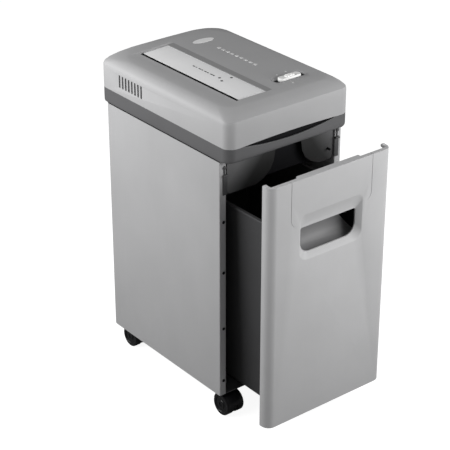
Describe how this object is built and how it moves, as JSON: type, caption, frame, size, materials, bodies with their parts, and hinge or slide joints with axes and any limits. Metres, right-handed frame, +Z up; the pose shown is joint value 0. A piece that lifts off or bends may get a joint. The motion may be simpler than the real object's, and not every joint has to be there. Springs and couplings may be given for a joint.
{
  "type": "paper shredder",
  "caption": "Upright castor-mounted office paper shredder with a front-to-back paper slot in its head, twin cutter shafts and a pull-out bin with a hand hole.",
  "frame": {"origin": "on the floor, under the middle of the machine with its bin drawn out as far as it stands at rest", "axes": "+Z up, +Y from the bin's front to the rear, +X to the right seen from the front"},
  "size_m": [0.255, 0.4496, 0.568],
  "materials": {
    "cabinet_paint": "satin fine-textured silver-grey powder coat",
    "head_silver": "satin silver moulded plastic",
    "housing_dark": "satin dark grey moulded plastic",
    "panel_dark": "satin dark grey paint",
    "bin_dark": "matte dark grey moulded plastic",
    "black_plastic": "matte black moulded plastic",
    "slider_white": "gloss white plastic",
    "badge_metal": "satin foil",
    "entry_silver": "satin light silver moulded plastic",
    "steel": "ground steel",
    "zinc": "zinc-plated steel",
    "bronze": "sintered bronze",
    "gear_nylon": "natural nylon",
    "board_green": "solder-masked laminate",
    "castor_black": "polished black nylon",
    "grip_grey": "matte grey moulded plastic"
  },
  "bodies": {
    "cabinet": {"cabinet_wrap": "cabinet_paint", "base_plate": "panel_dark", "header_plate": "panel_dark", "flange_screws": "black_plastic", "top_brackets": "panel_dark", "base_runners": "zinc", "castor_sockets": "zinc", "cord_gland": "black_plastic", "lower_housing": "housing_dark", "top_cover": "head_silver", "entry_plate": "entry_silver", "throat_guide": "black_plastic", "switch_bezel": "black_plastic", "switch_body": "black_plastic", "badge": "badge_metal", "name_strip": "badge_metal", "head_screws": "zinc", "cutter_frame_front": "zinc", "cutter_frame_rear": "zinc", "tie_rods": "zinc", "cutter_bearings": "bronze", "stripper_left": "black_plastic", "stripper_right": "black_plastic", "idler_axle": "steel", "motor_housing": "zinc", "motor_bracket": "zinc", "thermal_cutout": "black_plastic", "control_board": "board_green", "sensor_bracket": "black_plastic", "interlock_switch": "black_plastic", "paper_chute": "black_plastic"},
    "bin_drawer": {"drawer_front": "head_silver", "handle_panel": "head_silver", "handle_cup": "grip_grey", "bin_box": "bin_dark", "bin_screws": "zinc", "bin_glides": "gear_nylon"},
    "power_slider": {"switch_slider": "slider_white"},
    "cutter_a": {"cutter_shaft_a": "steel", "sync_gear_a": "steel"},
    "cutter_b": {"cutter_shaft_b": "steel", "sync_gear_b": "steel", "output_gear": "steel"},
    "idler": {"idler_gear": "gear_nylon"},
    "rotor": {"motor_rotor": "steel", "motor_fan": "black_plastic", "motor_pinion": "steel"},
    "sensor_lever": {"paper_sensor_lever": "black_plastic"},
    "interlock_pin": {"interlock_plunger": "black_plastic"},
    "castor_front_left": {"castor_hood_front_left": "castor_black"},
    "wheels_front_left": {"castor_wheels_front_left": "castor_black"},
    "castor_front_right": {"castor_hood_front_right": "castor_black"},
    "wheels_front_right": {"castor_wheels_front_right": "castor_black"},
    "castor_rear_left": {"castor_hood_rear_left": "castor_black"},
    "wheels_rear_left": {"castor_wheels_rear_left": "castor_black"},
    "castor_rear_right": {"castor_hood_rear_right": "castor_black"},
    "wheels_rear_right": {"castor_wheels_rear_right": "castor_black"}
  },
  "joints": [
    {"name": "bin_slide", "type": "slide", "parent": "cabinet", "child": "bin_drawer", "axis": [0, -1, 0], "range_m": [-0.1017, 0.15]},
    {"name": "power_slide", "type": "slide", "parent": "cabinet", "child": "power_slider", "axis": [1, 0, 0], "range_m": [-0.008, 0.008]},
    {"name": "cutter_b_turn", "type": "hinge", "parent": "cabinet", "child": "cutter_b", "pos_m": [-0.0515, 0, 0.516], "axis": [0, 1, 0], "continuous": true},
    {"name": "cutter_a_turn", "type": "hinge", "parent": "cabinet", "child": "cutter_a", "pos_m": [-0.0835, 0, 0.516], "axis": [0, 1, 0], "continuous": true},
    {"name": "idler_turn", "type": "hinge", "parent": "cabinet", "child": "idler", "pos_m": [-0.01014, 0.19435, 0.50871], "axis": [0, 1, 0], "continuous": true},
    {"name": "rotor_turn", "type": "hinge", "parent": "cabinet", "child": "rotor", "pos_m": [0.01787, 0.12735, 0.51621], "axis": [0, 1, 0], "continuous": true},
    {"name": "paper_lever_turn", "type": "hinge", "parent": "cabinet", "child": "sensor_lever", "pos_m": [-0.0515, 0.05285, 0.546], "axis": [0, 1, 0], "range_deg": [-35, 0], "stiffness_Nm_per_rad": 0.002, "springref_deg": 20.05},
    {"name": "interlock_slide", "type": "slide", "parent": "cabinet", "child": "interlock_pin", "axis": [0, 1, 0], "range_m": [0, 0.004], "stiffness_N_per_m": 150, "springref_m": -0.003},
    {"name": "castor_front_left_swivel", "type": "hinge", "parent": "cabinet", "child": "castor_front_left", "pos_m": [-0.099, -0.07265, 0.048], "axis": [0, 0, 1], "continuous": true},
    {"name": "wheels_front_left_spin", "type": "hinge", "parent": "castor_front_left", "child": "wheels_front_left", "pos_m": [-0.099, -0.09065, 0.02], "axis": [1, 0, 0], "continuous": true},
    {"name": "castor_front_right_swivel", "type": "hinge", "parent": "cabinet", "child": "castor_front_right", "pos_m": [0.099, -0.07265, 0.048], "axis": [0, 0, 1], "continuous": true},
    {"name": "wheels_front_right_spin", "type": "hinge", "parent": "castor_front_right", "child": "wheels_front_right", "pos_m": [0.099, -0.09065, 0.02], "axis": [1, 0, 0], "continuous": true},
    {"name": "castor_rear_left_swivel", "type": "hinge", "parent": "cabinet", "child": "castor_rear_left", "pos_m": [-0.091, 0.16835, 0.048], "axis": [0, 0, 1], "continuous": true},
    {"name": "wheels_rear_left_spin", "type": "hinge", "parent": "castor_rear_left", "child": "wheels_rear_left", "pos_m": [-0.091, 0.18635, 0.02], "axis": [1, 0, 0], "continuous": true},
    {"name": "castor_rear_right_swivel", "type": "hinge", "parent": "cabinet", "child": "castor_rear_right", "pos_m": [0.091, 0.16835, 0.048], "axis": [0, 0, 1], "continuous": true},
    {"name": "wheels_rear_right_spin", "type": "hinge", "parent": "castor_rear_right", "child": "wheels_rear_right", "pos_m": [0.091, 0.18635, 0.02], "axis": [1, 0, 0], "continuous": true}
  ],
  "couplings": [
    {"joint": "cutter_a_turn", "follows": "cutter_b_turn", "ratio": -1},
    {"joint": "idler_turn", "follows": "cutter_b_turn", "ratio": -3},
    {"joint": "rotor_turn", "follows": "cutter_b_turn", "ratio": 11.5}
  ]
}
